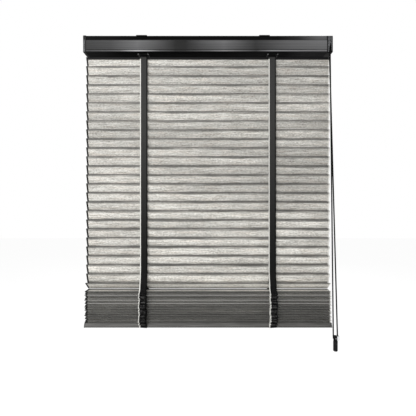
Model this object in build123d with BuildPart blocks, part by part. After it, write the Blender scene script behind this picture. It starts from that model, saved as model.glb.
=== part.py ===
from build123d import *
import math
import os

# Wooden venetian blind in millimetres. x runs to the right seen from the room, y runs away from
# the room and z runs up. The origin is the middle of its four ceiling screws, on the ceiling.

# Whole blind, whose middle is a little to the right of its brackets' middle
blind_width = 800
blind_offset = 16
clearance = 0.3
fit_gap = 0.05
overrun = 2

# Ceiling brackets, clipped over the lips of the headrail
bracket_plate = 2
bracket_width = 34
bracket_depth = 56
bracket_spacing = 394
bracket_leg = 2.6
bracket_foot_reach = 5.4
bracket_foot_thickness = 2
screw_radius = 2.25
screw_spacing = 20

# Headrail, an open-topped channel with inward lips, a set-back band and a rounded front bead
rail_depth = 57
rail_height = 53
rail_wall = 1.5
rail_opening = 36
rail_edge_radius = 2.5
band_height = 13.8
band_step = 2
bead_height = 6.6
groove_height = 1.4
groove_depth = 0.7
shaft_sag = 0.5

# Plugs of both rail ends, the left end cap and its bushing
end_cap_thickness = 9
cap_proud = 0.8
cap_corner = 2
cap_bevel = 1
plug_length = 12
plug_wall = 2
boss_radius = 9
bushing_radius = 6
journal_radius = 3

# Clutch unit at the right end, with the cord wheel
housing_length = 19
housing_wall = 2
housing_corner = 2
cover_thickness = 2.5
shaft_radius = 4
hub_radius = 7
wheel_inset = 8
wheel_width = 8
wheel_pitch_radius = 13
wheel_rim = 2.5
wheel_groove_floor = 4
wheel_groove_mouth = 6.4
mouth_apex_drop = 23
mouth_apex_width = 2.4
mouth_foot_width = 9.6
mouth_depth = 12.5

# Tape drums, cradles and tape guides in the headrail
tape_spacing = 420
drum_length = 26
drum_rim_radius = 17.5
drum_rim_length = 4
drum_spool_radius = 8
drum_journal_radius = 6
drum_journal_length = 4.5
cradle_gap = 0.5
cradle_wall = 3
cradle_floor = 2
cradle_rise = 10
cradle_taper = 14
guide_length = 35.5
guide_depth = 38
guide_corner = 4
guide_thickness = 2
guide_bevel = 0.8
collar_length = 31
collar_depth = 30
slit_length = 26
slit_width = 2.4
lift_hole_radius = 1.8

# Slats, a little shorter than the whole blind
slat_trim = 3
slat_width = 35
slat_thickness = 3
slat_bevel = 0.9
slat_pitch = 29.5
slat_tilt = 70
slat_count = 25
first_slat_drop = 22
rout_length = 17
rout_width = 6
leaning_tilt = 40
leaning_drop = 24.3
leaning_rise = 15.8

# Stack of gathered slats, with the tilts, sideways shifts and shifts in depth as shares of their limits
stack_count = 19
stack_pitch = 5.5
stack_tilt = 1.6
stack_side_shift = 1.6
stack_depth_shift = 0.8
tilt_shares = [0.3, -0.8, 0.5, 1, -0.4, 0.7, -1, 0.2, 0.9, -0.6]
tilt_shares += [-0.1, 0.8, -0.9, 0.4, -0.3, 0.6, -0.7, 0.1, -0.5]
side_shares = [-0.6, 0.8, -0.2, 1, -1, 0.4, 0.9, -0.7, 0.1, -0.9]
side_shares += [0.6, -0.4, 0.7, -0.8, 0.3, 1, -0.5, 0.2, -0.1]
depth_shares = [0.7, -0.3, 1, -0.8, 0.2, -1, 0.5, 0.9, -0.6, 0.1]
depth_shares += [-0.9, 0.4, 0.8, -0.5, -0.1, 0.6, -0.7, 0.3, 0]

# Ladder tapes and lift cords
tape_width = 24
tape_thickness = 0.8
rung_width = 8
rung_offset = 7
fold_clearance = 3
lift_cord_radius = 0.9
lift_wrap_angle = 330
lift_bend_radius = 20

# Bottom rail with its end caps and tape plugs
bottom_rail_trim = 1
bottom_rail_height = 14
bottom_rail_top_depth = 30
bottom_rail_foot_depth = 40
bottom_rail_edge_radius = 2
bottom_cap_thickness = 3
bottom_cap_proud = 0.6
plug_flange_radius = 9
plug_flange_thickness = 2
plug_stem_radius = 5
plug_stem_height = 8
lift_bore_radius = 2

# Control cord loop and the weight that hangs in it
cord_radius = 2.1
front_cord_inset = 2.9
rear_cord_inset = 7.9
front_cord_bend_rise = 6
rear_cord_bend_rise = 2.5
front_cord_bend_radius = 10
rear_cord_bend_radius = 3.2
weight_offset = 16
weight_cord_inset = 0.5
weight_pulley_drop = 915.2
pulley_pitch_radius = 6.7
cord_turn_radius = 6.6
pulley_radius = 7.2
pulley_half_width = 3.5
pulley_rim = 0.4
pulley_floor_radius = 4.3
pulley_floor_half_width = 1.2
pin_radius = 1.5
pin_head = 0.5
cheek_thickness = 1.7
cheek_half_width = 4
cheek_rise = 7.2
weight_radius = 6.9
weight_height = 32.4
weight_foot_bevel = 1.6
keeper_reach = 6.9
keeper_wall = 1.6
keeper_height = 13.8
keeper_corner = 1.5

# Places worked out from the sizes
blind_left = blind_offset - blind_width / 2
blind_right = blind_offset + blind_width / 2
rail_half = rail_depth / 2
rail_top = -bracket_plate
rail_floor = rail_top - rail_height
rail_middle = (rail_top + rail_floor) / 2
rail_left = blind_left + end_cap_thickness
rail_right = blind_right - housing_length
lip_edge = rail_opening / 2
band_y = band_step - rail_half
band_foot = rail_top - band_height
shaft_z = rail_middle - shaft_sag
shaft_axis = Axis((0, 0, shaft_z), (1, 0, 0))
cover_x = blind_right - cover_thickness
wheel_x = blind_right - wheel_inset
tape_places = {"left": blind_offset - tape_spacing / 2, "right": blind_offset + tape_spacing / 2}
bracket_places = {"left": -bracket_spacing / 2, "right": bracket_spacing / 2}
first_slat_z = rail_floor - first_slat_drop
slat_heights = [first_slat_z - slat_pitch * i for i in range(slat_count)]
leaning_z = slat_heights[-1] - leaning_drop
stack_foot_z = leaning_z - leaning_rise - stack_pitch * (stack_count - 1)
slat_length = blind_width - slat_trim
bottom_rail_length = slat_length - bottom_rail_trim
bottom_rail_top = stack_foot_z - slat_thickness / 2 - tape_thickness - 2 * clearance
bottom_rail_foot = bottom_rail_top - bottom_rail_height
tape_gap = clearance + tape_thickness / 2
rung_u = slat_width / 2 + tape_gap
rung_v = slat_thickness / 2 + tape_gap
fold_u = slat_width / 2 + fold_clearance
pieces = {}


# A point of a slat's cross-section, from its place across the slat and its depth below the middle
def slat_point(z, tilt, u, v):
    angle = math.radians(tilt)
    return (u * math.cos(angle) - v * math.sin(angle), z - u * math.sin(angle) - v * math.cos(angle))


# A point on a circle around the shaft, by its angle from the window side upwards
def shaft_point(radius, degrees):
    angle = math.radians(degrees)
    return (radius * math.cos(angle), shaft_z + radius * math.sin(angle))


# The angle at which a tangent from a point meets a circle around the shaft, on the side asked for
def tangent_angle(point, radius, side):
    y, z = point[0], point[1] - shaft_z
    turn = math.degrees(math.acos(radius / math.hypot(y, z)))
    return math.degrees(math.atan2(z, y)) % 360 + side * turn


# Both edges of a strip of tape along a path, with mitred corners
def tape_outline(path):
    points = [Vector(y, z) for y, z in path]
    steps = [(b - a).normalized() for a, b in zip(points, points[1:])]
    near, far = [], []
    for i, point in enumerate(points):
        before = steps[max(i - 1, 0)]
        after = steps[min(i, len(steps) - 1)]
        side = Vector(-before.Y - after.Y, before.X + after.X).normalized()
        reach = tape_thickness / 2 / side.dot(Vector(-after.Y, after.X))
        near.append(point + side * reach)
        far.append(point - side * reach)
    return near + far[::-1]


# The outermost point of slack tape between two rungs, one slat pitch of tape apart
def fold_point(upper, lower, side):
    dy, dz = lower[0] - upper[0], lower[1] - upper[1]
    span = math.hypot(dy, dz)
    reach = side * math.sqrt((slat_pitch / 2) ** 2 - (span / 2) ** 2)
    middle = ((upper[0] + lower[0]) / 2, (upper[1] + lower[1]) / 2)
    return (middle[0] - dz / span * reach, middle[1] + dy / span * reach)


# Headrail
with BuildPart() as headrail:
    groove_foot = rail_floor + bead_height
    groove_top = groove_foot + groove_height
    with BuildSketch(Plane.YZ.offset(rail_left)) as rail_profile:
        with BuildLine():
            Polyline(
                (-lip_edge, rail_top),
                (band_y, rail_top),
                (band_y, band_foot),
                (-rail_half, band_foot),
                (-rail_half, groove_top),
                (groove_depth - rail_half, groove_top),
                (groove_depth - rail_half, groove_foot),
                (-rail_half, groove_foot),
                (-rail_half, rail_floor),
                (rail_half, rail_floor),
                (rail_half, rail_top),
                (lip_edge, rail_top),
                (lip_edge, rail_top - rail_wall),
                (rail_half - rail_wall, rail_top - rail_wall),
                (rail_half - rail_wall, rail_floor + rail_wall),
                (rail_wall - rail_half, rail_floor + rail_wall),
                (rail_wall - rail_half, band_foot - rail_wall),
                (band_y + rail_wall, band_foot - rail_wall),
                (band_y + rail_wall, rail_top - rail_wall),
                (-lip_edge, rail_top - rail_wall),
                close=True,
            )
        make_face()
        fillet(rail_profile.vertices().group_by(Axis.Y)[0], radius=rail_edge_radius)
    extrude(amount=rail_right - rail_left)
    with BuildSketch(Plane.XY.offset(rail_floor - overrun)):
        with Locations(*[(x, 0) for x in tape_places.values()]):
            Rectangle(collar_length + 2 * clearance, collar_depth + 2 * clearance)
    extrude(amount=rail_wall + 2 * overrun, mode=Mode.SUBTRACT)
pieces["headrail"] = headrail.part

# Walls of a plug that fills the rail's channel
plug_front = band_y + rail_wall + clearance
plug_back = rail_half - rail_wall - clearance
plug_depth = plug_back - plug_front
plug_height = rail_height - 2 * rail_wall - 2 * clearance
plug_centre = ((plug_front + plug_back) / 2, rail_middle)

# Left end cap with the bushing's boss
with BuildPart() as left_end_cap:
    with BuildSketch(Plane.YZ.offset(blind_left)):
        with Locations((0, rail_middle)):
            RectangleRounded(rail_depth + 2 * cap_proud, rail_height + 2 * cap_proud, cap_corner)
    extrude(amount=end_cap_thickness)
    chamfer(left_end_cap.faces().sort_by(Axis.X)[0].edges(), length=cap_bevel)
    with BuildSketch(Plane.YZ.offset(rail_left)):
        with Locations(plug_centre):
            Rectangle(plug_depth, plug_height)
            Rectangle(plug_depth - 2 * plug_wall, plug_height - 2 * plug_wall, mode=Mode.SUBTRACT)
        with Locations((0, shaft_z)):
            Circle(boss_radius)
    extrude(amount=plug_length)
    with BuildSketch(Plane.YZ.offset(rail_left)):
        with Locations((0, shaft_z)):
            Circle(bushing_radius + fit_gap)
    extrude(amount=plug_length, mode=Mode.SUBTRACT)
pieces["left_end_cap"] = left_end_cap.part

# Bushing in which the shaft's left end turns
with BuildPart() as left_bushing:
    with BuildSketch(Plane.YZ.offset(rail_left)):
        with Locations((0, shaft_z)):
            Circle(bushing_radius)
            Circle(journal_radius + fit_gap, mode=Mode.SUBTRACT)
    extrude(amount=plug_length)
pieces["left_bushing"] = left_bushing.part

# Clutch housing, open to the right, with an inverted-V mouth for the cord
with BuildPart() as clutch_housing:
    with BuildSketch(Plane.YZ.offset(rail_right)):
        with Locations((0, rail_middle)):
            RectangleRounded(rail_depth, rail_height, housing_corner)
    extrude(amount=cover_x - rail_right)
    with BuildSketch(Plane.YZ.offset(rail_right + housing_wall)):
        with Locations((0, rail_middle)):
            Rectangle(rail_depth - 2 * housing_wall, rail_height - 2 * housing_wall)
    extrude(amount=housing_length, mode=Mode.SUBTRACT)
    with BuildSketch(Plane.YZ.offset(rail_right - plug_length)):
        with Locations(plug_centre):
            Rectangle(plug_depth, plug_height)
            Rectangle(plug_depth - 2 * plug_wall, plug_height - 2 * plug_wall, mode=Mode.SUBTRACT)
    extrude(amount=plug_length)
    with BuildSketch(Plane.YZ.offset(rail_right - overrun)):
        with Locations((0, shaft_z)):
            Circle(hub_radius + fit_gap)
    extrude(amount=housing_wall + 2 * overrun, mode=Mode.SUBTRACT)
    with BuildSketch(Plane.XZ.offset(rail_half + overrun)):
        with BuildLine():
            Polyline(
                (wheel_x - mouth_apex_width / 2, rail_top - mouth_apex_drop),
                (wheel_x + mouth_apex_width / 2, rail_top - mouth_apex_drop),
                (wheel_x + mouth_foot_width / 2, rail_floor),
                (wheel_x - mouth_foot_width / 2, rail_floor),
                close=True,
            )
        make_face()
    extrude(amount=-housing_wall - 2 * overrun, mode=Mode.SUBTRACT)
    with BuildSketch(Plane.XY.offset(rail_floor - overrun)):
        with Locations((wheel_x, mouth_depth / 2 - rail_half)):
            Rectangle(mouth_foot_width, mouth_depth)
    extrude(amount=housing_wall + 2 * overrun, mode=Mode.SUBTRACT)
pieces["clutch_housing"] = clutch_housing.part

# Cover over the housing's open side
with BuildPart() as clutch_cover:
    with BuildSketch(Plane.YZ.offset(cover_x)):
        with Locations((0, rail_middle)):
            RectangleRounded(rail_depth, rail_height, housing_corner)
    extrude(amount=cover_thickness)
    chamfer(clutch_cover.faces().sort_by(Axis.X)[-1].edges(), length=cap_bevel)
pieces["clutch_cover"] = clutch_cover.part

# Hexagonal shaft with a round left end
with BuildPart() as drive_shaft:
    hex_left = rail_left + plug_length + clearance
    with BuildSketch(Plane.YZ.offset(hex_left)):
        with Locations((0, shaft_z)):
            RegularPolygon(shaft_radius, side_count=6)
    extrude(amount=wheel_x + wheel_width / 2 - hex_left)
    with BuildSketch(Plane.YZ.offset(rail_left + clearance)):
        with Locations((0, shaft_z)):
            Circle(journal_radius)
    extrude(amount=plug_length)
pieces["drive_shaft"] = drive_shaft.part

# Grooved wheel that the control cord turns
with BuildPart() as cord_wheel:
    wheel_left = wheel_x - wheel_width / 2
    wheel_right = wheel_x + wheel_width / 2
    rim_z = shaft_z + wheel_pitch_radius + wheel_rim
    floor_z = shaft_z + wheel_pitch_radius - cord_radius - clearance
    with BuildSketch(Plane.XZ):
        with BuildLine():
            Polyline(
                (rail_right - clearance, shaft_z),
                (rail_right - clearance, shaft_z + hub_radius),
                (wheel_left, shaft_z + hub_radius),
                (wheel_left, rim_z),
                (wheel_x - wheel_groove_mouth / 2, rim_z),
                (wheel_x - wheel_groove_floor / 2, floor_z),
                (wheel_x + wheel_groove_floor / 2, floor_z),
                (wheel_x + wheel_groove_mouth / 2, rim_z),
                (wheel_right, rim_z),
                (wheel_right, shaft_z),
                close=True,
            )
        make_face()
    revolve(axis=shaft_axis)
    with BuildSketch(Plane.YZ.offset(rail_right - overrun)):
        with Locations((0, shaft_z)):
            RegularPolygon(shaft_radius + fit_gap, side_count=6)
    extrude(amount=housing_length + overrun, mode=Mode.SUBTRACT)
pieces["cord_wheel"] = cord_wheel.part

# Drums, cradles and guides at both tapes
web_y = rung_u * math.cos(math.radians(slat_tilt)) + rung_v * math.sin(math.radians(slat_tilt))
for side, tape_x in tape_places.items():
    # Drum with two tilt rims, a spool for the lift cord between them and two journals
    with BuildPart() as drum:
        half = drum_length / 2
        rim_z = shaft_z + drum_rim_radius
        with BuildSketch(Plane.XZ):
            with BuildLine():
                Polyline(
                    (tape_x - half - drum_journal_length, shaft_z),
                    (tape_x - half - drum_journal_length, shaft_z + drum_journal_radius),
                    (tape_x - half, shaft_z + drum_journal_radius),
                    (tape_x - half, rim_z),
                    (tape_x - half + drum_rim_length, rim_z),
                    (tape_x - half + drum_rim_length, shaft_z + drum_spool_radius),
                    (tape_x + half - drum_rim_length, shaft_z + drum_spool_radius),
                    (tape_x + half - drum_rim_length, rim_z),
                    (tape_x + half, rim_z),
                    (tape_x + half, shaft_z + drum_journal_radius),
                    (tape_x + half + drum_journal_length, shaft_z + drum_journal_radius),
                    (tape_x + half + drum_journal_length, shaft_z),
                    close=True,
                )
            make_face()
        revolve(axis=shaft_axis)
        with BuildSketch(Plane.YZ.offset(tape_x - drum_length)):
            with Locations((0, shaft_z)):
                RegularPolygon(shaft_radius + fit_gap, side_count=6)
        extrude(amount=2 * drum_length, mode=Mode.SUBTRACT)
    pieces[f"{side}_drum"] = drum.part

    # Cradle that carries the drum's journals, standing on the rail's floor
    with BuildPart() as cradle:
        inner = drum_length / 2 + cradle_gap
        outer = inner + cradle_wall
        cradle_foot = rail_floor + rail_wall
        cradle_top = shaft_z + cradle_rise
        with BuildSketch(Plane.XZ):
            with BuildLine():
                Polyline(
                    (tape_x - outer, cradle_foot),
                    (tape_x + outer, cradle_foot),
                    (tape_x + outer, cradle_top),
                    (tape_x + inner, cradle_top),
                    (tape_x + inner, cradle_foot + cradle_floor),
                    (tape_x - inner, cradle_foot + cradle_floor),
                    (tape_x - inner, cradle_top),
                    (tape_x - outer, cradle_top),
                    close=True,
                )
            make_face()
        extrude(amount=rail_half - rail_wall - clearance, both=True)
        chamfer(cradle.edges().filter_by(Axis.X).group_by(Axis.Z)[-1], length=cradle_taper)
        with BuildSketch(Plane.YZ.offset(tape_x - outer - overrun)):
            with Locations((0, shaft_z)):
                Circle(drum_journal_radius + fit_gap)
        extrude(amount=2 * outer + 2 * overrun, mode=Mode.SUBTRACT)
        with BuildSketch(Plane.XY.offset(cradle_foot - overrun)):
            with Locations((tape_x, 0)):
                Rectangle(collar_length + 2 * clearance - 2 * cradle_wall, collar_depth + 2 * clearance)
        extrude(amount=cradle_floor + 2 * overrun, mode=Mode.SUBTRACT)
    pieces[f"{side}_cradle"] = cradle.part

    # Guide under the rail, with a slit for each side of the tape and a hole for the lift cord
    with BuildPart() as guide:
        with BuildSketch(Plane.XY.offset(rail_floor - guide_thickness)):
            with Locations((tape_x, 0)):
                RectangleRounded(guide_length, guide_depth, guide_corner)
        extrude(amount=guide_thickness)
        chamfer(guide.faces().sort_by(Axis.Z)[0].edges(), length=guide_bevel)
        with BuildSketch(Plane.XY.offset(rail_floor)):
            with Locations((tape_x, 0)):
                Rectangle(collar_length, collar_depth)
        extrude(amount=rail_wall)
        with BuildSketch(Plane.XY.offset(rail_floor - guide_thickness - overrun)):
            with Locations((tape_x, -web_y), (tape_x, web_y)):
                Rectangle(slit_length, slit_width)
            with Locations((tape_x, 0)):
                Circle(lift_hole_radius)
        extrude(amount=guide_thickness + rail_wall + 2 * overrun, mode=Mode.SUBTRACT)
    pieces[f"{side}_tape_guide"] = guide.part

# Ceiling brackets: a plate on the lips, two legs between them and feet hooked under them
for side, bracket_x in bracket_places.items():
    with BuildPart() as bracket:
        leg = lip_edge - clearance
        foot_top = rail_top - rail_wall - clearance
        foot_bottom = foot_top - bracket_foot_thickness
        half_profile = [
            (bracket_depth / 2, 0),
            (bracket_depth / 2, rail_top),
            (leg, rail_top),
            (leg, foot_top),
            (leg + bracket_foot_reach, foot_top),
            (leg + bracket_foot_reach, foot_bottom),
            (leg - bracket_leg, foot_bottom),
            (leg - bracket_leg, rail_top),
        ]
        with BuildSketch(Plane.YZ.offset(bracket_x - bracket_width / 2)):
            with BuildLine():
                Polyline(*half_profile, *[(-y, z) for y, z in half_profile[::-1]], close=True)
            make_face()
        extrude(amount=bracket_width)
        with BuildSketch(Plane.XY.offset(rail_top - overrun)):
            with Locations((bracket_x, -screw_spacing / 2), (bracket_x, screw_spacing / 2)):
                Circle(screw_radius)
        extrude(amount=bracket_plate + 2 * overrun, mode=Mode.SUBTRACT)
    pieces[f"{side}_bracket"] = bracket.part


# The plane of a slat, with its room-side edge raised by the tilt
def slat_plane(x, y, z, tilt):
    angle = math.radians(tilt)
    return Plane(origin=(x, y, z), x_dir=(1, 0, 0), z_dir=(0, math.sin(angle), math.cos(angle)))


# The outline of a slat, with the rout slots that its lift cords pass through
def slat_outline(x):
    Rectangle(slat_length, slat_width)
    with Locations(*[(tape_x - x, 0) for tape_x in tape_places.values()]):
        Rectangle(rout_width, rout_length, mode=Mode.SUBTRACT)


# Hanging slats and the one that leans on the stack
hanging = [(z, slat_tilt) for z in slat_heights] + [(leaning_z, leaning_tilt)]
for number, (z, tilt) in enumerate(hanging, start=1):
    with BuildPart() as slat:
        with BuildSketch(slat_plane(blind_offset, 0, z, tilt)):
            slat_outline(blind_offset)
        extrude(amount=slat_thickness / 2, both=True)
        chamfer(slat.edges().filter_by(Axis.X).group_by(SortBy.LENGTH)[-1], length=slat_bevel)
    pieces[f"slat_{number:02d}"] = slat.part

# Gathered slats, from the bottom rail up
stack_heights = [stack_foot_z + stack_pitch * i for i in range(stack_count)]
stack_tilts = [stack_tilt * share for share in tilt_shares]
with BuildPart() as stacked_slats:
    for z, tilt, side_share, depth_share in zip(stack_heights, stack_tilts, side_shares, depth_shares):
        stack_x = blind_offset + stack_side_shift * side_share
        with BuildSketch(slat_plane(stack_x, stack_depth_shift * depth_share, z, tilt)):
            slat_outline(stack_x)
        extrude(amount=slat_thickness / 2, both=True)
    chamfer(stacked_slats.edges().filter_by(Axis.X).group_by(SortBy.LENGTH)[-1], length=slat_bevel)
pieces["stacked_slats"] = stacked_slats.part

# Ladder tapes: a web on each side of the slats and a rung under each slat, folded up in the stack
wrap_radius = drum_rim_radius + tape_gap
guide_top = rail_floor + rail_wall
tape_foot_y = bottom_rail_foot_depth / 2 + tape_gap
tape_foot_z = bottom_rail_foot - tape_gap
tape_end_y = plug_stem_radius + clearance
gathered = list(zip(stack_heights, stack_tilts))[::-1]


# A web below the guide: its joints with the rungs, and folds wherever the tape is slack
def web_path(side):
    joints = [slat_point(leaning_z, leaning_tilt, side * rung_u, -side * rung_v)]
    joints += [slat_point(z, tilt, side * fold_u, rung_v) for z, tilt in gathered]
    path = [slat_point(slat_heights[-1], slat_tilt, side * rung_u, -side * rung_v)]
    for joint in joints:
        if math.dist(path[-1], joint) < slat_pitch:
            path.append(fold_point(path[-1], joint, side))
        path.append(joint)
    return path + [(side * tape_foot_y, tape_foot_z), (side * tape_end_y, tape_foot_z)]


front_guide_point = (-web_y, guide_top)
wrap_start = 180 - slat_tilt
wrap_end = tangent_angle(front_guide_point, wrap_radius, -1)
wrap_steps = 3
wrap_step = (wrap_end - wrap_start) / wrap_steps
outer_wrap_radius = wrap_radius / math.cos(math.radians(wrap_step / 2))
front_path = [shaft_point(outer_wrap_radius, wrap_start + wrap_step * i) for i in range(wrap_steps + 1)]
front_path += [front_guide_point] + web_path(-1)
back_path = [shaft_point(wrap_radius, 360 - slat_tilt), (web_y, guide_top)] + web_path(1)
for side, tape_x in tape_places.items():
    with BuildPart() as ladder_tape:
        with BuildSketch(Plane.YZ.offset(tape_x - tape_width / 2)):
            for path in (front_path, back_path):
                with BuildLine():
                    Polyline(*tape_outline(path), close=True)
                make_face()
        extrude(amount=tape_width)
        for turn in (0, 1):
            rung_x = tape_x + (2 * turn - 1) * rung_offset
            with BuildSketch(Plane.YZ.offset(rung_x - rung_width / 2)):
                for z, tilt in hanging[turn::2]:
                    corners = [(-rung_u, rung_v), (rung_u, rung_v), (rung_u, -rung_v)]
                    bends = [slat_point(z, tilt, u, v) for u, v in corners]
                    with BuildLine():
                        Polyline(*tape_outline(bends), close=True)
                    make_face()
                for z, tilt in gathered[turn::2]:
                    ends = [slat_point(z, tilt, u, rung_v) for u in (-fold_u, fold_u)]
                    with BuildLine():
                        Polyline(*tape_outline(ends), close=True)
                    make_face()
            extrude(amount=rung_width)
    pieces[f"{side}_ladder_tape"] = ladder_tape.part

# Lift cords, from a turn on the spool down through the slats into the bottom rail's plug
lift_spool_radius = drum_spool_radius + clearance + lift_cord_radius
lift_corner = (0, guide_top)
lift_angle = tangent_angle(lift_corner, lift_spool_radius, -1)
lift_end = (0, bottom_rail_foot)
for side, tape_x in tape_places.items():
    with BuildPart() as lift_cord:
        with BuildLine(Plane.YZ.offset(tape_x)) as lift_route:
            lift_start = shaft_point(lift_spool_radius, lift_angle)
            FilletPolyline(lift_end, lift_corner, lift_start, radius=lift_bend_radius)
            CenterArc((0, shaft_z), lift_spool_radius, lift_angle, -lift_wrap_angle)
        with BuildSketch(Plane.XY.offset(lift_end[1])):
            with Locations((tape_x, 0)):
                Circle(lift_cord_radius)
        sweep(path=lift_route.wire())
    pieces[f"{side}_lift_cord"] = lift_cord.part


# The corners of the bottom rail's section, wider at its foot
def bottom_rail_corners(proud):
    top = bottom_rail_top_depth / 2 + proud
    foot = bottom_rail_foot_depth / 2 + proud
    upper = [(-top, bottom_rail_top), (top, bottom_rail_top)]
    return upper + [(foot, bottom_rail_foot), (-foot, bottom_rail_foot)]


# Bottom rail with a stepped bore for each lift cord and its plug
with BuildPart() as bottom_rail:
    with BuildSketch(Plane.YZ.offset(blind_offset)) as section:
        with BuildLine():
            Polyline(*bottom_rail_corners(0), close=True)
        make_face()
        fillet(section.vertices(), radius=bottom_rail_edge_radius)
    extrude(amount=bottom_rail_length / 2, both=True)
    with BuildSketch(Plane.XY.offset(bottom_rail_foot - overrun)):
        with Locations(*[(x, 0) for x in tape_places.values()]):
            Circle(plug_stem_radius + fit_gap)
    extrude(amount=plug_stem_height + overrun, mode=Mode.SUBTRACT)
    with BuildSketch(Plane.XY.offset(bottom_rail_foot)):
        with Locations(*[(x, 0) for x in tape_places.values()]):
            Circle(lift_bore_radius)
    extrude(amount=bottom_rail_height + overrun, mode=Mode.SUBTRACT)
pieces["bottom_rail"] = bottom_rail.part

# End caps of the bottom rail
cap_starts = {
    "left": blind_offset - bottom_rail_length / 2 - bottom_cap_thickness,
    "right": blind_offset + bottom_rail_length / 2,
}
for side, cap_x in cap_starts.items():
    with BuildPart() as bottom_cap:
        with BuildSketch(Plane.YZ.offset(cap_x)) as section:
            with BuildLine():
                Polyline(*bottom_rail_corners(bottom_cap_proud), close=True)
            make_face()
            fillet(section.vertices(), radius=bottom_rail_edge_radius)
        extrude(amount=bottom_cap_thickness)
    pieces[f"bottom_rail_{side}_cap"] = bottom_cap.part

# Plugs that hold the ends of the tapes and lift cords under the bottom rail
plug_flange_top = bottom_rail_foot - tape_thickness - 2 * clearance
for side, tape_x in tape_places.items():
    with BuildPart() as tape_plug:
        with BuildSketch(Plane.XY.offset(plug_flange_top - plug_flange_thickness)):
            with Locations((tape_x, 0)):
                Circle(plug_flange_radius)
        extrude(amount=plug_flange_thickness)
        chamfer(tape_plug.faces().sort_by(Axis.Z)[0].edges(), length=guide_bevel)
        with BuildSketch(Plane.XY.offset(plug_flange_top)):
            with Locations((tape_x, 0)):
                Circle(plug_stem_radius)
        extrude(amount=bottom_rail_foot + plug_stem_height - clearance - plug_flange_top)
        with BuildSketch(Plane.XY.offset(bottom_rail_foot)):
            with Locations((tape_x, 0)):
                Circle(lift_cord_radius + clearance)
        extrude(amount=plug_stem_height, mode=Mode.SUBTRACT)
    pieces[f"{side}_tape_plug"] = tape_plug.part

# Control cord inside the clutch unit: up through the mouth, over the wheel and down again
front_cord_y = front_cord_inset - rail_half
rear_cord_y = rear_cord_inset - rail_half
front_bend = (front_cord_y, rail_floor + front_cord_bend_rise)
rear_bend = (rear_cord_y, rail_floor + rear_cord_bend_rise)
front_angle = tangent_angle(front_bend, wheel_pitch_radius, -1)
rear_angle = tangent_angle(rear_bend, wheel_pitch_radius, 1) - 360
front_run = [(front_cord_y, rail_floor), front_bend, shaft_point(wheel_pitch_radius, front_angle)]
rear_run = [shaft_point(wheel_pitch_radius, rear_angle), rear_bend, (rear_cord_y, rail_floor)]
with BuildPart() as wheel_cord:
    with BuildLine(Plane.YZ.offset(wheel_x)) as wheel_route:
        FilletPolyline(*front_run, radius=front_cord_bend_radius)
        CenterArc((0, shaft_z), wheel_pitch_radius, front_angle, rear_angle - front_angle)
        FilletPolyline(*rear_run, radius=rear_cord_bend_radius)
    with BuildSketch(Plane.XY.offset(rail_floor)):
        with Locations((wheel_x, front_cord_y)):
            Circle(cord_radius)
    sweep(path=wheel_route.wire())
pieces["wheel_cord"] = wheel_cord.part

# Control cord loop below the clutch unit, pulled straight by the weight in its lower bend
weight_x = wheel_x + weight_offset
weight_y = weight_cord_inset - rail_half
pulley_z = rail_floor - weight_pulley_drop
turn_z = pulley_z - pulley_pitch_radius
loop_top = rail_floor - 2 * fit_gap
loop_points = [
    (wheel_x, front_cord_y, loop_top),
    (weight_x - pulley_pitch_radius, weight_y, turn_z),
    (weight_x + pulley_pitch_radius, weight_y, turn_z),
    (wheel_x, rear_cord_y, loop_top),
]
with BuildPart() as control_cord:
    with BuildLine() as loop_route:
        FilletPolyline(*loop_points, radius=cord_turn_radius)
    with BuildSketch(Plane(origin=loop_points[0], z_dir=loop_route.wire() % 0)):
        Circle(cord_radius)
    sweep(path=loop_route.wire())
pieces["control_cord"] = control_cord.part

# Weight with two cheeks that carry the pulley's pin
cheek_inner = pulley_half_width + clearance
cheek_outer = cheek_inner + cheek_thickness
weight_top = turn_z - cord_radius - clearance
pulley_axis = Axis((weight_x, weight_y, pulley_z), (0, 1, 0))
with BuildPart() as tension_weight:
    with BuildSketch(Plane.XY.offset(weight_top - weight_height)):
        with Locations((weight_x, weight_y)):
            Circle(weight_radius)
    extrude(amount=weight_height)
    chamfer(tension_weight.faces().sort_by(Axis.Z)[0].edges(), length=weight_foot_bevel)
    with BuildSketch(Plane.XY.offset(weight_top)):
        for y in (-(cheek_inner + cheek_outer) / 2, (cheek_inner + cheek_outer) / 2):
            with Locations((weight_x, weight_y + y)):
                Rectangle(2 * cheek_half_width, cheek_thickness)
    extrude(amount=pulley_z + cheek_rise - weight_top)
    with BuildSketch(Plane.XZ.offset(-weight_y)):
        with Locations((weight_x, pulley_z)):
            Circle(pin_radius + fit_gap)
    extrude(amount=cheek_outer + overrun, both=True, mode=Mode.SUBTRACT)
pieces["tension_weight"] = tension_weight.part

# Pin through both cheeks
with BuildPart() as tension_pin:
    with BuildSketch(Plane.XZ.offset(-weight_y)):
        with Locations((weight_x, pulley_z)):
            Circle(pin_radius)
    extrude(amount=cheek_outer + pin_head, both=True)
pieces["tension_pin"] = tension_pin.part

# Grooved pulley in the loop's lower bend
with BuildPart() as tension_pulley:
    half_groove = [
        (pulley_half_width, pin_radius + fit_gap),
        (pulley_half_width, pulley_radius),
        (pulley_half_width - pulley_rim, pulley_radius),
        (pulley_floor_half_width, pulley_floor_radius),
    ]
    with BuildSketch(Plane((weight_x, weight_y, pulley_z), x_dir=(0, 1, 0), z_dir=(1, 0, 0))):
        with BuildLine():
            Polyline(*half_groove, *[(-y, z) for y, z in half_groove[::-1]], close=True)
        make_face()
    revolve(axis=pulley_axis)
pieces["tension_pulley"] = tension_pulley.part

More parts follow.
